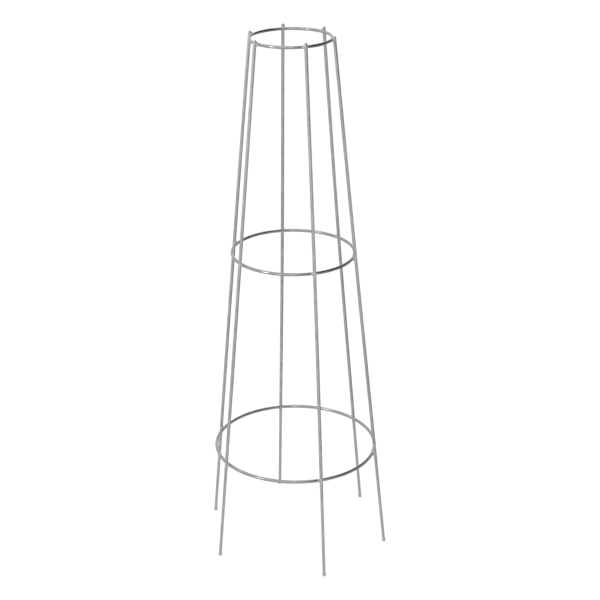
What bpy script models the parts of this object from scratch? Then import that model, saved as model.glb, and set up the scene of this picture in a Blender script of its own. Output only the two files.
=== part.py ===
# A tapered plant support column of galvanised wire: six legs welded to the outside of
# three hoops. Z is up and the feet stand on z = 0. X points to the right and Y away from
# whoever faces its front. The column's middle line starts at the origin and leans a
# little to the left.
import math
from collections import namedtuple

import bmesh
import bpy
from mathutils import Matrix, Vector

# Driving dimensions, in metres.
leg_wire = 0.0065           # diameter of the legs above the bottom hoop
stake_wire = 0.0061         # diameter of the legs below it, where they are drawn down
top_hoop_wire = 0.0058      # diameter of the wire that each hoop is bent from
middle_hoop_wire = 0.0061
bottom_hoop_wire = 0.0066
top_hoop_radius = 0.0777    # to the middle of the hoop's wire
middle_hoop_radius = 0.1208
bottom_hoop_radius = 0.1638
hoop_spacing = 0.426        # height from one hoop's wire to the next
stake_length = 0.2067       # height of the bottom hoop, so what goes into the soil
tip_length = 0.0090         # height of the legs above the top hoop
tip_dome = 0.0032           # height of the rounding that zinc gives each tip
tip_flat = 0.0008           # radius of the bare cut end left on top of it
shoulder_drop = 0.0100      # from the bottom hoop down to where the drawing down starts
shoulder_length = 0.0120
foot_swell = 0.0009         # how far the zinc drip on a foot stands out from the stake
foot_draw_in = 0.0015       # from the drip's widest to the edge of the flat under it
drip_length = 0.0100        # from the ground up to where the drip starts
set_down = 0.0004           # how far welding presses each leg into a hoop
cross_weld_spread = 0.0022  # how far a cross weld reaches past the wires that it joins
cross_weld_depth = 0.0029   # from the contact to a cross weld's inner or outer limit
butt_weld_length = 0.0020   # along the hoop
butt_weld_proud = 0.0005    # how far a butt weld stands out from the hoop's wire
butt_weld_chamfer = 0.0004
fit_gap = 0.0003            # between any two pieces that touch on the real column

# How far the column's middle line leans to the left, in degrees. The top hoop is square
# to that line, and the other two lie level.
column_lean = 0.7

# Compass of each leg round each hoop's middle, in degrees from +X towards +Y. The legs
# aren't evenly spaced, and each stands a little askew.
leg_azimuths = {
    "right_back": {"top": 41.0, "middle": 43.6, "bottom": 42.8},
    "back": {"top": 100.6, "middle": 100.2, "bottom": 100.9},
    "left_back": {"top": 157.9, "middle": 158.8, "bottom": 157.9},
    "left_front": {"top": 218.0, "middle": 215.7, "bottom": 214.4},
    "front": {"top": 289.2, "middle": 288.6, "bottom": 287.4},
    "right": {"top": 346.1, "middle": 343.4, "bottom": 343.9},
}
# Compass of each hoop's butt weld, in degrees.
butt_weld_azimuths = {"top": 71.0, "middle": 186.0, "bottom": 228.0}

# Grey and roughness of each kind of zinc.
leg_zinc = (0.43, 0.45)
hoop_zinc = (0.38, 0.22)
weld_zinc = (0.56, 0.50)

# How finely round shapes are divided.
leg_sides = 16
leg_bends = 8         # stretches of a leg from the bottom hoop to the top one
way_steps = 100       # stretches between two hoops, over which a leg's way is measured
hoop_sides = 12
hoop_steps = 90
drip_steps = 5
dome_steps = 4
weld_segments = 14
weld_rings = 9
sharp_angle = 40      # degrees between faces, from which an edge stays sharp

leg_radius = leg_wire / 2
stake_radius = stake_wire / 2
top_hoop_height = stake_length + 2 * hoop_spacing
lean_angle = math.radians(column_lean)
leg_slope = math.atan2(bottom_hoop_radius - top_hoop_radius, 2 * hoop_spacing)

Hoop = namedtuple("Hoop", "radius wire_radius height tilt")
hoops = {
    "top": Hoop(top_hoop_radius, top_hoop_wire / 2, top_hoop_height, lean_angle),
    "middle": Hoop(middle_hoop_radius, middle_hoop_wire / 2, stake_length + hoop_spacing, 0),
    "bottom": Hoop(bottom_hoop_radius, bottom_hoop_wire / 2, stake_length, 0),
}


def clear_scene():
    for old in list(bpy.data.objects):
        bpy.data.objects.remove(old, do_unlink=True)


def zinc(name, grey, roughness):
    material = bpy.data.materials.new(name)
    material.use_nodes = True
    shader = material.node_tree.nodes["Principled BSDF"]
    shader.inputs["Base Color"].default_value = (grey, grey, grey, 1)
    shader.inputs["Metallic"].default_value = 1.0
    shader.inputs["Roughness"].default_value = roughness
    return material


def add_object(name, bm, place, column, material=None):
    bmesh.ops.recalc_face_normals(bm, faces=bm.faces)
    mesh = bpy.data.meshes.new(name)
    bm.to_mesh(mesh)
    bm.free()
    mesh.shade_smooth()
    mesh.set_sharp_from_angle(angle=math.radians(sharp_angle))
    made = bpy.data.objects.new(name, mesh)
    bpy.context.scene.collection.objects.link(made)
    made.parent = column
    made.matrix_local = place
    if material:
        mesh.materials.append(material)
    else:
        made.hide_render = True
        made.display_type = "WIRE"
    return made


def cut(made, cutters):
    for number, cutter in enumerate(cutters):
        modifier = made.modifiers.new(f"cut_{number}", "BOOLEAN")
        modifier.operation = "DIFFERENCE"
        modifier.solver = "EXACT"
        modifier.object = cutter


def turned(profile, sides):
    # A closed solid turned about Z from (height, radius) points, lowest first.
    bm = bmesh.new()
    turns = [2 * math.pi * k / sides for k in range(sides)]
    loops = [
        [bm.verts.new((radius * math.cos(a), radius * math.sin(a), height)) for a in turns]
        for height, radius in profile
    ]
    for low, high in zip(loops, loops[1:]):
        for k in range(sides):
            following = (k + 1) % sides
            bm.faces.new((low[k], low[following], high[following], high[k]))
    bm.faces.new(list(reversed(loops[0])))
    bm.faces.new(loops[-1])
    return bm


def bent_wire(radius, wire_radius, half_opening):
    # A wire bent round Z, left open for half_opening radians each side of +X.
    bm = bmesh.new()
    turns = [2 * math.pi * k / hoop_sides for k in range(hoop_sides)]
    section = [
        bm.verts.new((radius + wire_radius * math.cos(a), 0, wire_radius * math.sin(a)))
        for a in turns
    ]
    end = bm.faces.new(section)
    turn = Matrix.Rotation(half_opening, 3, "Z")
    bmesh.ops.rotate(bm, verts=section, cent=(0, 0, 0), matrix=turn)
    sweep = 2 * math.pi - 2 * half_opening
    bmesh.ops.spin(bm, geom=[end], cent=(0, 0, 0), axis=(0, 0, 1), angle=sweep, steps=hoop_steps)
    return bm


def polar(radius, azimuth, height):
    return Vector((radius * math.cos(azimuth), radius * math.sin(azimuth), height))


def frame_at(point, up, out):
    # Local Z runs along up, and X lies as near to out as is square to it.
    z = up.normalized()
    x = (out - out.dot(z) * z).normalized()
    return Matrix.Translation(point) @ Matrix((x, z.cross(x), z)).transposed().to_4x4()


def hoop_middle(which):
    height = hoops[which].height
    return Vector((-height * math.tan(lean_angle), 0, height))


def hoop_frame(which):
    # The middle of a hoop, with Z square to the hoop.
    turn = Matrix.Rotation(-hoops[which].tilt, 4, "Y")
    return Matrix.Translation(hoop_middle(which)) @ turn


def seat(which, leg):
    # Where a leg's middle line passes a hoop, pressed a little into the hoop's wire.
    hoop = hoops[which]
    reach = (leg_radius + hoop.wire_radius - set_down) / math.cos(leg_slope)
    azimuth = math.radians(leg_azimuths[leg][which])
    return hoop_middle(which) + polar(hoop.radius + reach, azimuth, 0)


def leg_point(leg, height):
    # A leg is sprung a little by the middle hoop, as a beam held at three points is: its
    # bend is greatest there and fades to nothing at the other two hoops.
    low, middle, high = (seat(which, leg) for which in ("bottom", "middle", "top"))
    climb = (height - stake_length) / hoop_spacing
    away = abs(climb - 1)
    spring = 1 - 1.5 * away**2 + 0.5 * away**3 if away < 1 else 1.5 * (1 - away)
    return low + (high - low) * climb / 2 + (middle - (low + high) / 2) * spring


def leg_way(leg, height):
    # The leg's direction upwards at that height.
    step = hoop_spacing / way_steps
    return (leg_point(leg, height + step) - leg_point(leg, height - step)).normalized()


def leg_frame(leg):
    # At the foot, with Z along the stake.
    foot = leg_point(leg, 0)
    return frame_at(foot, leg_way(leg, 0), Vector((foot.x, foot.y, 0)))


def foot_drip_profile():
    # A ball round the wire's end, cut flat below, with a neck that tapers to the wire.
    ball = stake_radius + foot_swell
    flat = ball - foot_draw_in
    middle = math.sqrt(ball**2 - flat**2)
    first = math.atan2(-middle, flat)
    last = math.acos(stake_radius / ball) / 2
    angles = [first + (last - first) * k / drip_steps for k in range(drip_steps + 1)]
    ball_points = [(middle + ball * math.sin(a), ball * math.cos(a)) for a in angles]
    return ball_points + [(drip_length, stake_radius)]


def tip_dome_profile(length):
    # A quarter of an ellipse from the wire's side in to the bare cut end.
    angles = [math.pi / 2 * k / dome_steps for k in range(dome_steps + 1)]
    across = leg_radius - tip_flat
    shoulder = length - tip_dome
    return [(shoulder + tip_dome * math.sin(a), tip_flat + across * math.cos(a)) for a in angles]


def bend_stations(upright, radius):
    # One ring at each hoop's height and some between, where a leg can bend.
    steps = [stake_length + 2 * hoop_spacing * k / leg_bends for k in range(leg_bends + 1)]
    return [(height / upright, radius) for height in steps]


def spring_wire(bm, leg):
    # Moves a straight wire's corners sideways on to the leg's middle line.
    frame = leg_frame(leg)
    back = frame.to_3x3().inverted()
    for vert in bm.verts:
        straight = frame @ Vector((0, 0, vert.co.z))
        vert.co += back @ (leg_point(leg, straight.z) - straight)


def make_leg(leg, column):
    frame = leg_frame(leg)
    upright = frame.col[2].z
    shoulder = (stake_length - shoulder_drop) / upright
    taper = [(shoulder - shoulder_length, stake_radius), (shoulder, leg_radius)]
    tip = tip_dome_profile((top_hoop_height + tip_length) / upright)
    profile = foot_drip_profile() + taper + bend_stations(upright, leg_radius) + tip
    bm = turned(profile, leg_sides)
    for vert in list(bm.verts)[:leg_sides]:
        vert.co.z -= (frame @ vert.co).z / upright  # levels the flat under the foot
    spring_wire(bm, leg)
    name = f"leg_{leg}"
    return add_object(name, bm, frame, column, zinc(name, *leg_zinc))


def make_leg_cutter(leg, column):
    frame = leg_frame(leg)
    upright = frame.col[2].z
    radius = (leg_radius + fit_gap) / math.cos(math.pi / leg_sides)
    top = ((top_hoop_height + tip_length) / upright, radius)
    bm = turned([(0, radius)] + bend_stations(upright, radius) + [top], leg_sides)
    spring_wire(bm, leg)
    return add_object(f"cut_leg_{leg}", bm, frame, column)


def hoop_place(which):
    # The hoop's frame, turned until X points at the butt weld.
    turn = Matrix.Rotation(math.radians(butt_weld_azimuths[which]), 4, "Z")
    return hoop_frame(which) @ turn


def make_hoop(which, leg_cutters, column):
    # One wire bent round, with a shallow seat where each leg is pressed into it.
    hoop = hoops[which]
    half_opening = (butt_weld_length / 2 + fit_gap) / hoop.radius
    bm = bent_wire(hoop.radius, hoop.wire_radius, half_opening)
    name = f"{which}_hoop"
    made = add_object(name, bm, hoop_place(which), column, zinc(name, *hoop_zinc))
    cut(made, leg_cutters)
    return made


def make_hoop_cutter(which, column):
    hoop = hoops[which]
    wire_radius = (hoop.wire_radius + fit_gap) / math.cos(math.pi / hoop_sides)
    bm = bent_wire(hoop.radius, wire_radius, butt_weld_length / 2 / hoop.radius)
    return add_object(f"cut_{which}_hoop", bm, hoop_place(which), column)


def make_butt_weld(which, column):
    hoop = hoops[which]
    outer = hoop.wire_radius + butt_weld_proud
    inner = outer - butt_weld_chamfer
    end = butt_weld_length / 2
    shoulder = end - butt_weld_chamfer
    bm = turned([(-end, inner), (-shoulder, outer), (shoulder, outer), (end, inner)], hoop_sides)
    along = frame_at(Vector((hoop.radius, 0, 0)), Vector((0, 1, 0)), Vector((1, 0, 0)))
    name = f"{which}_hoop_butt_weld"
    return add_object(name, bm, hoop_place(which) @ along, column, zinc(name, *weld_zinc))


def cross_weld_frame(which, leg):
    # The middle of the contact, with X from the hoop's wire to the leg's middle line.
    hoop = hoops[which]
    wire = hoop_frame(which) @ polar(hoop.radius, math.radians(leg_azimuths[leg][which]), 0)
    passing = leg_point(leg, wire.z)
    up = leg_way(leg, wire.z)
    out = passing + up * (wire - passing).dot(up) - wire
    contact = wire + out.normalized() * (hoop.wire_radius - set_down / 2)
    return frame_at(contact, up, out)


def make_cross_weld(which, leg, cutters, column):
    # A lump round the contact, with both wires cut out of it.
    bm = bmesh.new()
    bmesh.ops.create_uvsphere(bm, u_segments=weld_segments, v_segments=weld_rings, radius=1)
    reach = (
        cross_weld_depth,
        leg_radius + cross_weld_spread,
        hoops[which].wire_radius + cross_weld_spread,
    )
    bmesh.ops.scale(bm, vec=reach, verts=bm.verts)
    name = f"{which}_weld_{leg}"
    weld = add_object(name, bm, cross_weld_frame(which, leg), column, zinc(name, *weld_zinc))
    cut(weld, cutters)
    return weld


def main():
    clear_scene()
    column = bpy.data.objects.new("column_axis", None)
    bpy.context.scene.collection.objects.link(column)
    leg_cutters = {}
    for leg in leg_azimuths:
        make_leg(leg, column)
        leg_cutters[leg] = make_leg_cutter(leg, column)
    for which in hoops:
        make_hoop(which, leg_cutters.values(), column)
        make_butt_weld(which, column)
        hoop_cutter = make_hoop_cutter(which, column)
        for leg, leg_cutter in leg_cutters.items():
            make_cross_weld(which, leg, (leg_cutter, hoop_cutter), column)


main()
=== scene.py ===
# A tapered wire support column for climbing plants: six galvanised legs welded to the
# outside of three hoops. Every piece takes its place from the frame.
import math

import bmesh
import bpy
import numpy
from mathutils import Euler, Matrix, Vector


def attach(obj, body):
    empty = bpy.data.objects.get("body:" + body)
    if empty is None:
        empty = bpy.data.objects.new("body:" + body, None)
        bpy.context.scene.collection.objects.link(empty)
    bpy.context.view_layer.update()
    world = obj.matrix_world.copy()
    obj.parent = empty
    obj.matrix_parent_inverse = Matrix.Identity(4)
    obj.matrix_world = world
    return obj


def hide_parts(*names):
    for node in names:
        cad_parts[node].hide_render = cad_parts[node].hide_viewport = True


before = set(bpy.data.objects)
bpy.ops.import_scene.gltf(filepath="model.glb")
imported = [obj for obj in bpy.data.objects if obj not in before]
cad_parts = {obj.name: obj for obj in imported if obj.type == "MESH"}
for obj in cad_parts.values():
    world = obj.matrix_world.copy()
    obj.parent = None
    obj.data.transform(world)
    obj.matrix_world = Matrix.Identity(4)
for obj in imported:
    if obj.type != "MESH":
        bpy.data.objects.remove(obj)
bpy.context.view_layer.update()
bpy.ops.object.select_all(action="DESELECT")
print("stage: frame loaded,", len(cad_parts), "nodes")

legNames = ["right_back", "back", "left_back", "left_front", "front", "right"]
hoopNames = ["top", "middle", "bottom"]
sharpFrom = 35  # degrees between two faces from which their edge stays sharp


# Editing by hand: one edit-mode session at a time, with the selection made in code.


def pickOnly(piece):
    bpy.ops.object.select_all(action="DESELECT")
    bpy.context.view_layer.objects.active = piece
    piece.select_set(True)


def startEditing(piece, mode="FACE"):
    pickOnly(piece)
    bpy.ops.object.mode_set(mode="EDIT")
    bpy.ops.mesh.select_mode(type=mode)


def stopEditing():
    bpy.ops.mesh.select_all(action="SELECT")
    bpy.ops.mesh.normals_make_consistent(inside=False)
    bpy.ops.object.mode_set(mode="OBJECT")


def pickEdges(piece, rule):
    bpy.ops.mesh.select_all(action="DESELECT")
    net = bmesh.from_edit_mesh(piece.data)
    for edge in net.edges:
        edge.select_set(rule(edge.verts[0].co, edge.verts[1].co))
    bmesh.update_edit_mesh(piece.data)


def pickPoints(piece, rule):
    bpy.ops.mesh.select_all(action="DESELECT")
    net = bmesh.from_edit_mesh(piece.data)
    for vert in net.verts:
        vert.select_set(rule(vert.co))
    bmesh.update_edit_mesh(piece.data)


def useModifier(piece, kind, **settings):
    # adds a modifier, sets it and applies it at once
    modifier = piece.modifiers.new(kind.lower(), kind)
    for name, value in settings.items():
        setattr(modifier, name, value)
    bpy.context.view_layer.objects.active = piece
    bpy.ops.object.modifier_apply(modifier=modifier.name)


def copyOf(piece):
    twin = piece.copy()
    twin.data = piece.data.copy()
    bpy.context.scene.collection.objects.link(twin)
    return twin


def placeInMesh(piece, place):
    # moves the mesh itself, so that the object stays at the origin
    pickOnly(piece)
    piece.matrix_world = place
    bpy.ops.object.transform_apply(location=True, rotation=True, scale=True)


def joinAll(pieces):
    bpy.ops.object.select_all(action="DESELECT")
    for piece in pieces:
        piece.select_set(True)
    bpy.context.view_layer.objects.active = pieces[0]
    bpy.ops.object.join()
    return pieces[0]


def handOver(piece, name, node, material):
    # names the finished piece, gives it its finish and lets it stand for its node
    piece.name = name
    piece.data.name = name
    piece.data.materials.clear()
    piece.data.materials.append(material)
    pickOnly(piece)
    bpy.ops.object.shade_smooth_by_angle(angle=math.radians(sharpFrom))
    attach(piece, "root")
    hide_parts(node)


# Places, read from the frame. All lengths are metres.

reading = {
    "digits": 6,  # corners that agree to so many decimals are one
    "ridgeShare": 0.9,  # a hoop's ridges lie past this share of its wire's greatest lift
    "ringGap": 0.001,  # rise from which a leg's next ring of corners starts
    "halfStretch": 0.004,  # half the stretch over which a leg's direction is taken
}


def nodePoints(node):
    # the frame's meshes are loose triangles, so each corner is taken once
    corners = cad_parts[node].data.vertices
    places = {tuple(round(c, reading["digits"]) for c in corner.co) for corner in corners}
    return [Vector(place) for place in sorted(places)]


def middleOf(points):
    return sum(points, Vector()) / len(points)


def frameAt(point, up, out):
    # Z runs along up, and X lies as near to out as is square to it
    z = up.normalized()
    x = (out - out.dot(z) * z).normalized()
    return Matrix.Translation(point) @ Matrix((x, z.cross(x), z)).transposed().to_4x4()


def solve(columns, wanted):
    # least squares, with a constant added to the columns
    table = numpy.column_stack([*columns, numpy.ones(len(wanted))])
    return numpy.linalg.lstsq(table, wanted, rcond=None)[0].tolist()


def readHoop(hoop):
    # the ridges above and below the wire lie level with the hoop, on a ball round its middle
    points = numpy.array(nodePoints(f"{hoop}_hoop"))
    a, b, c = solve(points[:, :2].T, points[:, 2])
    lift = abs(points[:, 2] - points[:, :2] @ (a, b) - c)
    ridges = points[lift > reading["ridgeShare"] * lift.max()]
    a, b, _ = solve(ridges[:, :2].T, ridges[:, 2])
    x, y, z, _ = solve(2 * ridges.T, (ridges**2).sum(axis=1))
    place = frameAt(Vector((x, y, z)), Vector((-a, -b, 1)), Vector((1, 0, 0)))
    away = [place.inverted() @ Vector(point) for point in ridges]
    weld = place.inverted() @ middleOf(nodePoints(f"{hoop}_hoop_butt_weld"))
    return {
        "place": place,
        "height": z,
        "radius": sum(point.xy.length for point in away) / len(away),
        "wireRadius": sum(abs(point.z) for point in away) / len(away),
        "weldAt": math.atan2(weld.y, weld.x),
    }


hoopPlaces = {hoop: readHoop(hoop) for hoop in hoopNames}


def readLeg(leg):
    # its height, and where its middle line passes each hoop
    rings = [[]]
    for point in sorted(nodePoints(f"leg_{leg}"), key=lambda point: point.z):
        if rings[-1] and point.z - rings[-1][-1].z > reading["ringGap"]:
            rings.append([])
        rings[-1].append(point)
    line = [middleOf(ring) for ring in rings]
    place = {"height": rings[-1][-1].z}
    for hoop in hoopNames:
        height = hoopPlaces[hoop]["height"]
        spans = [(low, high) for low, high in zip(line, line[1:]) if low.z <= height <= high.z]
        low, high = spans[0]
        place[hoop] = low.lerp(high, (height - low.z) / (high.z - low.z))
    return place


legPlaces = {leg: readLeg(leg) for leg in legNames}


def legPoint(leg, height):
    # a wire held at three hoops bends most at the middle one, and not at all past the others
    low, middle, high = (legPlaces[leg][hoop] for hoop in ("bottom", "middle", "top"))
    climb = (height - low.z) / (middle.z - low.z)
    away = abs(climb - 1)
    spring = 1 - 1.5 * away**2 + 0.5 * away**3 if away < 1 else 1.5 * (1 - away)
    return low + (high - low) * climb / 2 + (middle - (low + high) / 2) * spring


def legWay(leg, height):
    step = reading["halfStretch"]
    return (legPoint(leg, height + step) - legPoint(leg, height - step)).normalized()


def crossing(hoop, leg):
    # the middle of the hoop's wire where a leg passes, with Z up the leg and X towards it
    ring = hoopPlaces[hoop]
    seat = ring["place"].inverted() @ legPoint(leg, ring["height"])
    azimuth = math.atan2(seat.y, seat.x)
    x, y = ring["radius"] * math.cos(azimuth), ring["radius"] * math.sin(azimuth)
    onHoop = ring["place"] @ Vector((x, y, 0))
    passing, up = legPoint(leg, onHoop.z), legWay(leg, onHoop.z)
    out = passing + up * (onHoop - passing).dot(up) - onHoop
    return {"place": frameAt(onHoop, up, out), "azimuth": azimuth, "apart": out.length}


def contact(hoop, leg):
    return crossing(hoop, leg)["place"] @ Vector((hoopPlaces[hoop]["wireRadius"], 0, 0))


# Shader maths: a socket that can be added, multiplied and so on.


class Plug:
    def __init__(self, tree, socket=None):
        self.tree = tree
        self.socket = socket

    def feed(self, node, name):
        self.tree.links.new(self.socket, node.inputs[name])

    def node(self, kind, settings, sockets, output=0):
        # settings first, since some of them change a node's sockets
        made = self.tree.nodes.new(kind)
        for name, value in settings.items():
            if name == "stops":
                setStops(made.color_ramp, value)
            else:
                setattr(made, name, value)
        for name, value in sockets.items():
            if isinstance(value, Plug):
                value.feed(made, name)
            else:
                made.inputs[name].default_value = value
        return Plug(self.tree, made.outputs[output] if len(made.outputs) > 0 else None)

    def maths(self, operation, first, second):
        return self.node("ShaderNodeMath", {"operation": operation}, {0: first, 1: second})

    def __add__(self, other):
        return self.maths("ADD", self, other)

    def __sub__(self, other):
        return self.maths("SUBTRACT", self, other)

    def __rsub__(self, other):
        return self.maths("SUBTRACT", other, self)

    def __mul__(self, other):
        return self.maths("MULTIPLY", self, other)

    __radd__ = __add__
    __rmul__ = __mul__


def setStops(ramp, stops):
    while len(ramp.elements) < len(stops):
        ramp.elements.new(1.0)
    for element, (position, grey) in zip(ramp.elements, stops):
        element.position = position
        element.color = (grey, grey, grey, 1)


def newMaterial(name):
    # a material with its usual shader, and a plug to start its maths from
    material = bpy.data.materials.new(name)
    material.use_nodes = True
    tree = material.node_tree
    return material, Plug(tree), tree.nodes["Principled BSDF"]


def scaled(start, point, scale):
    return start.node("ShaderNodeVectorMath", {"operation": "MULTIPLY"}, {0: point, 1: scale})


def cloud(start, point, scale, detail=2.0):
    return start.node("ShaderNodeTexNoise", {}, {"Vector": point, "Scale": scale, "Detail": detail})


def greyOf(start, tone):
    return start.node("ShaderNodeCombineColor", {}, {"Red": tone, "Green": tone, "Blue": tone})


def reliefOf(start, height, strength, depth):
    return start.node("ShaderNodeBump", {}, {"Strength": strength, "Distance": depth, "Height": height})


# The look of hot-dipped zinc on drawn wire. Places on the wire come from each piece's own
# attribute wirePlace: X and Y across the wire, Z along it, in metres.

zincLook = {
    "leg": {
        "tone": 0.483,
        "roughness": 0.45,
        "mottle": 0.26,
        "streaks": 0.16,
        "spangle": 0.18,
        "bump": 0.35,
        "paleReach": 0.0095,  # metres from a weld
    },
    "hoop": {
        "tone": 0.38,
        "roughness": 0.20,
        "mottle": 0.20,
        "streaks": 0.20,
        "spangle": 0.14,
        "bump": 0.25,
        "paleReach": 0.0085,
    },
}
# each pattern's fineness in cells to the metre, and how it is drawn out along the wire
zincPattern = {
    "clouds": 130.0,
    "cloudDetail": 3.0,
    "cloudDraw": (1, 1, 0.4),
    "lines": 2600.0,
    "lineDraw": (1, 1, 0.02),
    "cells": 420.0,
    "cellDraw": (1, 1, 0.6),
    "grain": 2400.0,
    "edge": 420.0,
    "edgeWander": 0.006,  # metres that the edge of a pale patch wanders in all
    "paleCore": 0.45,  # share of a pale patch's reach that is pale all through
    "cloudRough": 0.5,
    "cellRough": 0.25,
    "cloudRelief": 0.8,
    "lineRelief": 0.3,
    "grainRelief": 0.12,
    "reliefDepth": 0.00008,
}
weldLook = {"tone": 0.60, "roughness": 0.50, "mottle": 0.14, "metal": 0.6}
buttLook = {"tone": 0.50, "roughness": 0.45, "mottle": 0.16, "metal": 0.8}
weldPattern = {
    "clouds": 380.0,
    "cloudDetail": 3.0,
    "grain": 1900.0,
    "grainTone": 0.1,
    "cloudRough": 0.4,
    "grainRelief": 0.3,
    "bump": 0.4,
    "reliefDepth": 0.0001,
}


def wireZinc(name, look):
    # every noise runs from 0 to 1, about a half
    pattern = zincPattern
    material, start, shader = newMaterial(name)
    along = start.node("ShaderNodeAttribute", {"attribute_name": "wirePlace"}, {}, "Vector")
    cloudPlace = scaled(start, along, pattern["cloudDraw"])
    clouds = cloud(start, cloudPlace, pattern["clouds"], pattern["cloudDetail"])
    lines = cloud(start, scaled(start, along, pattern["lineDraw"]), pattern["lines"])
    cellPlace = scaled(start, along, pattern["cellDraw"])
    cellSockets = {"Vector": cellPlace, "Scale": pattern["cells"]}
    cells = start.node("ShaderNodeTexVoronoi", {}, cellSockets, "Color")
    cellTone = start.node("ShaderNodeSeparateColor", {}, {"Color": cells})
    grain = cloud(start, along, pattern["grain"])
    # paler and duller where welding heat and thick zinc lie
    near = start.node("ShaderNodeAttribute", {"attribute_name": "weldNear"}, {}, "Fac")
    edge = near + (cloud(start, along, pattern["edge"]) - 0.5) * pattern["edgeWander"]
    reach = look["paleReach"]
    pale = start.node(
        "ShaderNodeMapRange",
        {"interpolation_type": "SMOOTHSTEP", "clamp": True},
        {"Value": edge, "From Min": reach, "From Max": reach * pattern["paleCore"]},
    )
    plain = look["tone"] + pale * (weldLook["tone"] - look["tone"])
    tone = plain * (
        1.0
        + (clouds - 0.5) * (2 * look["mottle"])
        + (lines - 0.5) * (2 * look["streaks"])
        + (cellTone - 0.5) * look["spangle"]
    )
    greyOf(start, tone).feed(shader, "Base Color")
    plainRough = look["roughness"] + pale * (weldLook["roughness"] - look["roughness"])
    rough = plainRough * (
        1.0 + (clouds - 0.5) * pattern["cloudRough"] + (cellTone - 0.5) * pattern["cellRough"]
    )
    rough.feed(shader, "Roughness")
    metal = 1.0 - pale * (1.0 - weldLook["metal"])
    metal.feed(shader, "Metallic")
    relief = (
        lines * pattern["lineRelief"]
        + clouds * pattern["cloudRelief"]
        + grain * pattern["grainRelief"]
    )
    reliefOf(start, relief, look["bump"], pattern["reliefDepth"]).feed(shader, "Normal")
    return material


def weldZinc(name, look):
    # thick zinc in the corners of a weld, paler and duller than on the wire
    pattern = weldPattern
    material, start, shader = newMaterial(name)
    place = start.node("ShaderNodeTexCoord", {}, {}, "Object")
    clouds = cloud(start, place, pattern["clouds"], pattern["cloudDetail"])
    grain = cloud(start, place, pattern["grain"])
    tone = look["tone"] * (
        1.0 + (clouds - 0.5) * (2 * look["mottle"]) + (grain - 0.5) * pattern["grainTone"]
    )
    greyOf(start, tone).feed(shader, "Base Color")
    rough = look["roughness"] * (1.0 + (clouds - 0.5) * pattern["cloudRough"])
    rough.feed(shader, "Roughness")
    relief = clouds + grain * pattern["grainRelief"]
    reliefOf(start, relief, pattern["bump"], pattern["reliefDepth"]).feed(shader, "Normal")
    shader.inputs["Metallic"].default_value = look["metal"]
    return material


legZinc = wireZinc("leg_zinc", zincLook["leg"])
hoopZinc = wireZinc("hoop_zinc", zincLook["hoop"])
filletZinc = weldZinc("weld_zinc", weldLook)
buttZinc = weldZinc("butt_weld_zinc", buttLook)
print("stage: zinc mixed")

# where each wire lies along the one long pattern, so that no two have the same marks
patternShift = {"hoops": 30.0, "next": 3.0}


def storeWirePlace(piece, placeOf):
    # each corner's place on the wire, which still stands upright or lies round Z
    mesh = piece.data
    layer = mesh.attributes.new("wirePlace", "FLOAT_VECTOR", "POINT")
    for vert in mesh.vertices:
        layer.data[vert.index].vector = placeOf(vert.co)


def storeWeldNear(piece, spots):
    # metres from each corner to the nearest weld
    mesh = piece.data
    layer = mesh.attributes.new("weldNear", "FLOAT", "POINT")
    for vert in mesh.vertices:
        layer.data[vert.index].value = min((vert.co - spot).length for spot in spots)


def ripple(piece, shape, name):
    # the slow swell of zinc that ran and set unevenly
    texture = bpy.data.textures.new(name, "CLOUDS")
    texture.noise_scale = shape["swellSize"]
    texture.noise_depth = 1
    useModifier(
        piece,
        "DISPLACE",
        texture=texture,
        strength=shape["swell"],
        mid_level=0.5,
        texture_coords="LOCAL",
    )


# Legs: one is modelled upright at the origin and copied to each leg's place.

legShape = {
    "sides": 32,
    "ringEvery": 0.003,
    "wireRadius": 0.00325,
    "stakeRadius": 0.00305,
    "footRadius": 0.00385,
    "footFlat": 0.0024,
    "underGround": 0.0004,  # how far below the ground the foot starts, before it is cut
    "neckFrom": 22,  # degrees up the drip's ball, where its neck starts
    "dripLength": 0.0100,
    "shoulderDrop": 0.0100,  # from the bottom hoop down to the shoulder's upper end
    "shoulderLength": 0.0120,
    "stretches": 9,  # of plain wire from the shoulder to the last stretch
    "lastStretch": 0.014,  # left plain until the tip has been moved to its place
    "lastRings": 4,
    "tipDome": 0.0034,
    "tipFlat": 0.0005,
    "roundSteps": 7,
    "leeway": 0.001,  # for finding a ring by its height
    "pathSteps": 80,
    "pathPastTip": 0.01,
    "swell": 0.00010,
    "swellSize": 0.012,
}
# how much shorter each leg is than its node, by the photograph
legTrims = {
    "right_back": 0.0001,
    "back": 0.0004,
    "left_back": 0.0028,
    "left_front": 0.0018,
    "front": 0.0001,
    "right": 0.0015,
}


def legPath(leg, pastTip=0.0):
    # evenly spaced points up the leg's middle line
    top = legPlaces[leg]["height"] + pastTip
    steps = legShape["pathSteps"]
    return [legPoint(leg, top * k / steps) for k in range(steps + 1)]


def legLength(leg):
    path = legPath(leg)
    return sum((high - low).length for low, high in zip(path, path[1:]))


# the upright leg is as long as the shortest one
patternLength = min(legLength(leg) for leg in legNames)


def rounded(middle, across, tall, first, last):
    # stations round part of an ellipse, its turns in degrees from the level
    steps = legShape["roundSteps"]
    turns = [math.radians(first + (last - first) * k / steps) for k in range(steps + 1)]
    return [(middle[0] + tall * math.sin(turn), middle[1] + across * math.cos(turn)) for turn in turns]


def eased(low, high, steps):
    # stations from one height and radius to another, with a soft start and end
    stations = []
    for k in range(1, steps + 1):
        share = k / steps
        height = low[0] + (high[0] - low[0]) * share
        radius = low[1] + (high[1] - low[1]) * share * share * (3 - 2 * share)
        stations.append((height, radius))
    return stations


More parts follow.
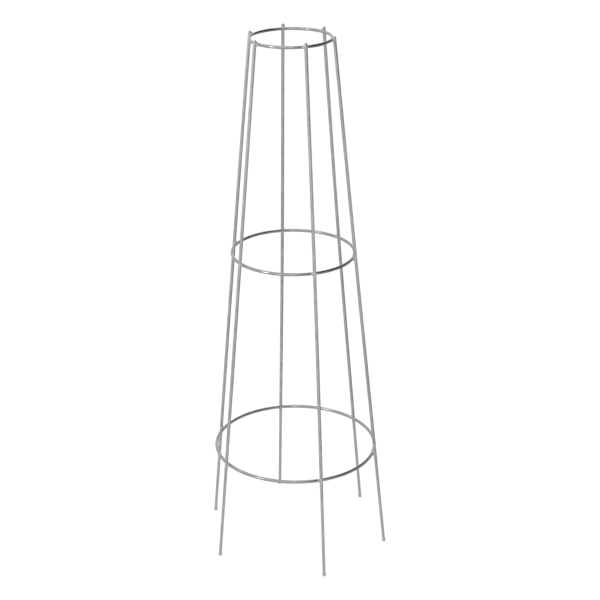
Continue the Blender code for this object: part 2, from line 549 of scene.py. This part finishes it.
def legStations():
    # height and radius of each ring that the leg's outline is pulled through
    shape = legShape
    ball, stake, wire = shape["footRadius"], shape["stakeRadius"], shape["wireRadius"]
    middle = math.sqrt(ball**2 - shape["footFlat"] ** 2)
    lowest = -math.degrees(math.atan2(middle, shape["footFlat"]))
    stations = rounded((middle, 0), ball, ball, lowest, shape["neckFrom"])
    stations += eased(stations[-1], (shape["dripLength"], stake), shape["roundSteps"])
    shoulderTop = (hoopPlaces["bottom"]["height"] - shape["shoulderDrop"]) / legWay("front", 0).z
    shoulder = (shoulderTop - shape["shoulderLength"], stake)
    stations += [shoulder, *eased(shoulder, (shoulderTop, wire), shape["roundSteps"])]
    domeFrom = patternLength - shape["tipDome"]
    span = domeFrom - shape["lastStretch"] - shoulderTop
    for k in range(1, shape["stretches"] + 1):
        stations.append((shoulderTop + span * k / shape["stretches"], wire))
    flat = shape["tipFlat"]
    return stations + rounded((domeFrom, flat), wire - flat, shape["tipDome"], 0, 90)


def modelLeg():
    # the outline starts a little under the ground, where the foot is cut level later
    stations = legStations()
    low, radius = stations[0][0] - legShape["underGround"], stations[0][1]
    bpy.ops.mesh.primitive_circle_add(
        vertices=legShape["sides"], radius=radius, fill_type="NGON", location=(0, 0, low)
    )
    leg = bpy.context.object
    bpy.ops.object.transform_apply(location=True, rotation=True, scale=True)
    startEditing(leg)
    bpy.ops.mesh.select_all(action="SELECT")
    for height, wide in stations[1:]:
        bpy.ops.mesh.extrude_region_move(TRANSFORM_OT_translate={"value": (0, 0, height - low)})
        share = wide / radius
        bpy.ops.transform.resize(value=(share, share, 1), center_override=(0, 0, height))
        low, radius = height, wide
    # long stretches get a ring every few millimetres, so that they can bend and swell
    for (lowEnd, _), (highEnd, _) in zip(stations, stations[1:]):
        if highEnd - lowEnd > legShape["lastStretch"] + legShape["leeway"]:
            rings = round((highEnd - lowEnd) / legShape["ringEvery"]) - 1
            subdivideBetween(leg, lowEnd, highEnd, rings)
    stopEditing()
    return leg


def subdivideBetween(leg, lowEnd, highEnd, rings):
    midway = (lowEnd + highEnd) / 2
    pickEdges(leg, lambda a, b: min(a.z, b.z) < midway < max(a.z, b.z))
    bpy.ops.mesh.subdivide(number_cuts=rings)


def moveTip(piece, leg):
    # makes the upright wire as long as this leg, then gives its last stretch its rings
    shift = legLength(leg) - legTrims[leg] - patternLength
    lastEnd = patternLength - legShape["tipDome"]
    startEditing(piece, "VERT")
    pickPoints(piece, lambda point: point.z > lastEnd - legShape["leeway"])
    bpy.ops.transform.translate(value=(0, 0, shift))
    bpy.ops.mesh.select_mode(type="EDGE")
    subdivideBetween(piece, lastEnd - legShape["lastStretch"], lastEnd + shift, legShape["lastRings"])
    stopEditing()


def bendAlong(piece, path):
    # bends an upright piece to a line of points that starts at its foot
    line = bpy.data.curves.new("path", "CURVE")
    line.dimensions = "3D"
    line.twist_mode = "MINIMUM"
    line.use_deform_bounds = False
    spline = line.splines.new("POLY")
    spline.points.add(len(path) - 1)
    for point, place in zip(spline.points, path):
        point.co = (*place, 1)
    guide = bpy.data.objects.new("path", line)
    bpy.context.scene.collection.objects.link(guide)
    useModifier(piece, "CURVE", object=guide, deform_axis="POS_Z")
    bpy.data.objects.remove(guide, do_unlink=True)


def grindFoot(piece):
    # the foot is cut flat where it stands
    startEditing(piece)
    bpy.ops.mesh.select_all(action="SELECT")
    bpy.ops.mesh.bisect(plane_co=(0, 0, 0), plane_no=(0, 0, 1), use_fill=True, clear_inner=True)
    stopEditing()


def makeLegs():
    pattern = modelLeg()
    for number, leg in enumerate(legNames):
        piece = copyOf(pattern)
        moveTip(piece, leg)
        shift = Vector((0, 0, patternShift["next"] * number))
        storeWirePlace(piece, lambda point: point + shift)
        bendAlong(piece, legPath(leg, legShape["pathPastTip"]))
        ripple(piece, legShape, f"leg_{leg}_swell")
        grindFoot(piece)
        storeWeldNear(piece, [contact(hoop, leg) for hoop in hoopNames])
        handOver(piece, f"leg_{leg}_wire", f"leg_{leg}", legZinc)
    bpy.data.objects.remove(pattern, do_unlink=True)


makeLegs()
print("stage: legs drawn")

# Hoops: a section of wire spun round the column, left open where its butt weld sits.

hoopShape = {
    "sides": 28,
    "stepLength": 0.003,
    "weldHalf": 0.0008,  # half the opening
    "swell": 0.00004,
    "swellSize": 0.018,
}


def bendWire(radius, wireRadius, start, sweep, stepLength):
    # round Z at the origin, from start onwards
    bpy.ops.mesh.primitive_circle_add(
        vertices=hoopShape["sides"],
        radius=wireRadius,
        fill_type="NGON",
        location=(radius * math.cos(start), radius * math.sin(start), 0),
        rotation=(math.pi / 2, 0, start),
    )
    wire = bpy.context.object
    bpy.ops.object.transform_apply(location=True, rotation=True, scale=True)
    startEditing(wire)
    bpy.ops.mesh.select_all(action="SELECT")
    steps = round(radius * sweep / stepLength)
    # with no window, spin turns the other way too
    bpy.ops.mesh.spin(steps=steps, angle=-sweep, center=(0, 0, 0), axis=(0, 0, 1))
    stopEditing()
    return wire


def makeHoops():
    for number, hoop in enumerate(hoopNames):
        ring = hoopPlaces[hoop]
        opening = hoopShape["weldHalf"] / ring["radius"]
        start, sweep = ring["weldAt"] + opening, 2 * math.pi - 2 * opening
        piece = bendWire(ring["radius"], ring["wireRadius"], start, sweep, hoopShape["stepLength"])

        def unrolled(point):
            turn = (math.atan2(point.y, point.x) - ring["weldAt"]) % (2 * math.pi)
            along = ring["radius"] * turn + patternShift["hoops"] + patternShift["next"] * number
            return Vector((point.xy.length - ring["radius"], point.z, along))

        storeWirePlace(piece, unrolled)
        placeInMesh(piece, ring["place"])
        ripple(piece, hoopShape, f"{hoop}_hoop_swell")
        storeWeldNear(piece, [contact(hoop, leg) for leg in legNames])
        handOver(piece, f"{hoop}_hoop_wire", f"{hoop}_hoop", hoopZinc)


makeHoops()
print("stage: hoops bent")

# Welds: short ends of both wires and a lump of metal between them, melted together.

weldShape = {
    "legStub": 0.0055,  # from its middle to each end, as is the hoop's
    "hoopStub": 0.0070,
    "hoopStep": 0.0015,
    "skin": -0.00010,  # added to a wire's radius; below 0, the short ends hide in the wires
    "lump": (0.0026, 0.0054, 0.0050),  # half its size towards the leg, along the hoop, up the leg
    "lumpSides": 24,
    "lumpRings": 16,
    "voxel": 0.0004,
    "soften": 0.5,
    "melt": 22,  # rounds of smoothing
}


def meltTogether(parts, melt):
    piece = joinAll(parts)
    useModifier(piece, "REMESH", mode="VOXEL", voxel_size=weldShape["voxel"])
    useModifier(piece, "SMOOTH", factor=weldShape["soften"], iterations=melt)
    return piece


def shortHoop(ring, azimuth, half, proud, stepLength):
    # a short end of a hoop's wire, to both sides of an azimuth
    reach = half / ring["radius"]
    wireRadius = ring["wireRadius"] + proud
    end = bendWire(ring["radius"], wireRadius, azimuth - reach, 2 * reach, stepLength)
    placeInMesh(end, ring["place"])
    return end


def shortLeg(leg, spot):
    # a short end of a leg to both sides of a hoop; near a tip, it stays under the dome
    below = weldShape["legStub"]
    domeFrom = legPlaces[leg]["height"] - legTrims[leg] - legShape["tipDome"]
    above = min(below, domeFrom - spot["place"].translation.z)
    bpy.ops.mesh.primitive_cylinder_add(
        vertices=legShape["sides"],
        radius=legShape["wireRadius"] + weldShape["skin"],
        depth=above + below,
        location=(spot["apart"], 0, (above - below) / 2),
    )
    end = bpy.context.object
    bpy.ops.object.transform_apply(location=True, rotation=True, scale=True)
    placeInMesh(end, spot["place"])
    return end


def weldLump(ring, spot):
    # a ball of metal squashed between the two wires
    bpy.ops.mesh.primitive_uv_sphere_add(
        segments=weldShape["lumpSides"], ring_count=weldShape["lumpRings"], radius=1.0
    )
    lump = bpy.context.object
    sunk = ring["wireRadius"] + legShape["wireRadius"] - spot["apart"]
    middle = Matrix.Translation((ring["wireRadius"] - sunk / 2, 0, 0))
    placeInMesh(lump, spot["place"] @ middle @ Matrix.Diagonal((*weldShape["lump"], 1)))
    return lump


def makeCrossWelds():
    shape = weldShape
    for hoop in hoopNames:
        ring = hoopPlaces[hoop]
        for leg in legNames:
            spot = crossing(hoop, leg)
            hoopEnd = shortHoop(ring, spot["azimuth"], shape["hoopStub"], shape["skin"], shape["hoopStep"])
            piece = meltTogether([hoopEnd, shortLeg(leg, spot), weldLump(ring, spot)], shape["melt"])
            handOver(piece, f"{hoop}_weld_{leg}_fillet", f"{hoop}_weld_{leg}", filletZinc)


makeCrossWelds()
print("stage: legs welded on")

buttShape = {
    "stub": 0.0040,  # from the weld's middle to each end
    "stubProud": 0.00005,
    "stubStep": 0.0010,
    "length": 0.0026,
    "proud": 0.00045,
    "step": 0.0006,
    "melt": 14,
}


def makeButtWelds():
    shape = buttShape
    for hoop in hoopNames:
        ring = hoopPlaces[hoop]
        stub = shortHoop(ring, ring["weldAt"], shape["stub"], shape["stubProud"], shape["stubStep"])
        bead = shortHoop(ring, ring["weldAt"], shape["length"] / 2, shape["proud"], shape["step"])
        piece = meltTogether([stub, bead], shape["melt"])
        handOver(piece, f"{hoop}_hoop_butt_weld_bead", f"{hoop}_hoop_butt_weld", buttZinc)


makeButtWelds()
print("stage: hoops closed")

# Studio: pale floor, pale surroundings, three lamps, and a dark screen and mat that only
# gloss sees.

studio = {
    "floorSize": 80.0,
    "floorDrop": 0.0002,  # how far it lies under the feet
    "floorTone": 0.8,
    "floorGlow": 0.62,  # added to what the camera sees, so that it reads as white
    "glossFade": [  # its glow in gloss, by distance from the column
        (0.0, 0.34),
        (0.3, 0.34),
        (0.6, 0.27),
        (1.0, 0.22),
        (1.9, 0.20),
        (2.6, 0.38),
        (4.8, 0.52),
        (8.0, 0.60),
    ],
    "fadeReach": 10.0,  # distance at which the fade's ramp ends
    "skyPlain": 0.5,  # the sky's strength as light; the camera and gloss see it as 1
    "aim": (0.0, 0.0, 0.55),
    "circleSides": 180,
}


def raysOf(start):
    # 1 for the rays of the camera, of reflections and of glass, else 0
    kinds = ("Camera", "Glossy", "Transmission")
    return [start.node("ShaderNodeLightPath", {}, {}, f"Is {kind} Ray") for kind in kinds]


def lightSeen(start):
    # 1 for what the camera, a reflection or glass sees, 0 for plain light
    camera, gloss, glass = raysOf(start)
    return start.maths("MAXIMUM", start.maths("MAXIMUM", camera, gloss), glass)


def emptyMaterial(name):
    # a material without a node, to build a glow in
    material = bpy.data.materials.new(name)
    material.use_nodes = True
    material.node_tree.nodes.clear()
    return material, Plug(material.node_tree)


def makeFloor():
    bpy.ops.mesh.primitive_plane_add(size=studio["floorSize"], location=(0, 0, -studio["floorDrop"]))
    floor = bpy.context.object
    floor.name = "studio_floor"
    material, start = emptyMaterial("floor_white")
    diffuse = start.node("ShaderNodeBsdfDiffuse", {}, {"Color": (studio["floorTone"],) * 3 + (1,)})
    camera, gloss, glass = raysOf(start)
    place = start.node("ShaderNodeTexCoord", {}, {}, "Object")
    away = start.node("ShaderNodeVectorMath", {"operation": "LENGTH"}, {0: place}, "Value")
    reach = studio["fadeReach"]
    stops = [(distance / reach, glowing) for distance, glowing in studio["glossFade"]]
    fade = start.node("ShaderNodeValToRGB", {"stops": stops}, {"Fac": away * (1 / reach)})
    strength = start.maths("MAXIMUM", camera, glass) * studio["floorGlow"] + gloss * fade
    glow = start.node("ShaderNodeEmission", {}, {"Strength": strength})
    both = start.node("ShaderNodeAddShader", {}, {0: diffuse, 1: glow})
    start.node("ShaderNodeOutputMaterial", {}, {"Surface": both})
    floor.data.materials.append(material)


def makeSky():
    world = bpy.data.worlds.new("studio_sky")
    bpy.context.scene.world = world
    world.use_nodes = True
    start = Plug(world.node_tree)
    strength = studio["skyPlain"] + lightSeen(start) * (1.0 - studio["skyPlain"])
    background = world.node_tree.nodes["Background"]
    background.inputs["Color"].default_value = (1, 1, 1, 1)
    strength.feed(background, "Strength")


# compass and height in degrees as seen from the aim, distance and size in metres
lamps = {
    "key": {"azimuth": 218.5, "elevation": 27, "distance": 2.3, "size": 0.24, "radiance": 38.0},
    "spark": {"azimuth": 269.6, "elevation": 18, "distance": 3.6, "size": 0.16, "radiance": 52.0},
    "glimmer": {"azimuth": 248, "elevation": 12, "distance": 3.6, "size": 0.14, "radiance": 36.0},
}
# a dark screen to the right, which fades into the sky at both ends and at its foot
darkWall = {
    "radius": 1.6,
    "height": 4.2,
    "across": [(-91, 1.0), (-59, 0.0), (51, 0.0), (69, 1.0)],  # degrees and glow
    "fadeFrom": 0.55,  # as bright as the sky up to this height
    "darkFrom": 1.05,
}
# a dark mat on the floor before it
darkMat = {"from": -42, "to": 52, "inner": 0.6, "outer": 1.6, "tone": 0.0}


def around(spot):
    # a place that faces the aim
    azimuth, elevation = math.radians(spot["azimuth"]), math.radians(spot["elevation"])
    level = math.cos(elevation)
    way = Vector((level * math.cos(azimuth), level * math.sin(azimuth), math.sin(elevation)))
    place = Vector(studio["aim"]) + way * spot["distance"]
    return Matrix.Translation(place) @ (-way).to_track_quat("-Z", "Y").to_matrix().to_4x4()


def makeLamps():
    for name, lamp in lamps.items():
        data = bpy.data.lights.new(name, "AREA")
        data.shape = "DISK"
        data.size = lamp["size"]
        # watts: radiance times pi times the disc's area
        data.energy = lamp["radiance"] * math.pi * math.pi * lamp["size"] ** 2 / 4
        made = bpy.data.objects.new(name, data)
        bpy.context.scene.collection.objects.link(made)
        made.matrix_world = around(lamp)


def ringSector(name, radius, first, last):
    # part of a circle of edges round the column, left in edit mode
    bpy.ops.mesh.primitive_circle_add(
        vertices=studio["circleSides"], radius=radius, fill_type="NOTHING"
    )
    sector = bpy.context.object
    sector.name = name
    startEditing(sector, "VERT")
    pickPoints(sector, lambda point: not first <= math.degrees(math.atan2(point.y, point.x)) <= last)
    bpy.ops.mesh.delete(type="VERT")
    bpy.ops.mesh.select_all(action="SELECT")
    return sector


def onlyReflected(piece, material):
    piece.data.materials.append(material)
    piece.visible_camera = False
    piece.visible_diffuse = False
    piece.visible_shadow = False


def makeDarkWall():
    # curved and seen by reflections alone, so that round wire shows its roundness
    across = darkWall["across"]
    first, last = across[0][0], across[-1][0]
    wall = ringSector("dark_wall", darkWall["radius"], first, last)
    bpy.ops.mesh.extrude_region_move(TRANSFORM_OT_translate={"value": (0, 0, darkWall["height"])})
    stopEditing()
    material, start = emptyMaterial("wall_dark")
    place = start.node("ShaderNodeTexCoord", {}, {}, "Object")
    x, y, z = [start.node("ShaderNodeSeparateXYZ", {}, {"Vector": place}, axis) for axis in "XYZ"]
    turn = start.maths("ARCTAN2", y, x) * (180 / math.pi)
    share = (turn - first) * (1 / (last - first))
    stops = [((azimuth - first) / (last - first), glowing) for azimuth, glowing in across]
    sideways = start.node("ShaderNodeValToRGB", {"stops": stops}, {"Fac": share})
    lift = start.node(
        "ShaderNodeMapRange",
        {"clamp": True},
        {"Value": z, "From Min": darkWall["fadeFrom"], "From Max": darkWall["darkFrom"]},
    )
    glow = start.node("ShaderNodeEmission", {}, {"Strength": 1.0 - lift * (1.0 - sideways)})
    start.node("ShaderNodeOutputMaterial", {}, {"Surface": glow})
    onlyReflected(wall, material)


def makeDarkMat():
    mat = ringSector("dark_mat", darkMat["outer"], darkMat["from"], darkMat["to"])
    bpy.ops.mesh.extrude_region_move(TRANSFORM_OT_translate={"value": (0, 0, 0)})
    share = darkMat["inner"] / darkMat["outer"]
    bpy.ops.transform.resize(value=(share, share, 1), center_override=(0, 0, 0))
    stopEditing()
    material, start = emptyMaterial("mat_dark")
    glow = start.node("ShaderNodeEmission", {}, {"Strength": darkMat["tone"]})
    start.node("ShaderNodeOutputMaterial", {}, {"Surface": glow})
    onlyReflected(mat, material)


makeFloor()
makeSky()
makeLamps()
makeDarkWall()
makeDarkMat()
print("stage: studio lit")

# Camera: where the photograph was taken from, worked out from the column's own wires.

view = {
    "place": (-0.0092, -2.7144, 1.6879),
    "down": 23.116,  # degrees, as are the next two
    "right": 0.316,
    "roll": 0.185,
    "lens": 88.61,  # millimetres, as is the film's width
    "film": 36.0,
    "clipStart": 0.05,
}


def makeCamera():
    data = bpy.data.cameras.new("camera")
    data.sensor_width = view["film"]
    data.sensor_fit = "HORIZONTAL"
    data.lens = view["lens"]
    data.clip_start = view["clipStart"]
    camera = bpy.data.objects.new("camera", data)
    bpy.context.scene.collection.objects.link(camera)
    tilt = Euler((math.radians(90 - view["down"]), 0, math.radians(-view["right"])))
    roll = Matrix.Rotation(math.radians(view["roll"]), 4, "Z")
    camera.matrix_world = Matrix.Translation(view["place"]) @ tilt.to_matrix().to_4x4() @ roll
    bpy.context.scene.camera = camera


makeCamera()
bpy.context.scene.view_settings.view_transform = "Standard"

print("stage: done")
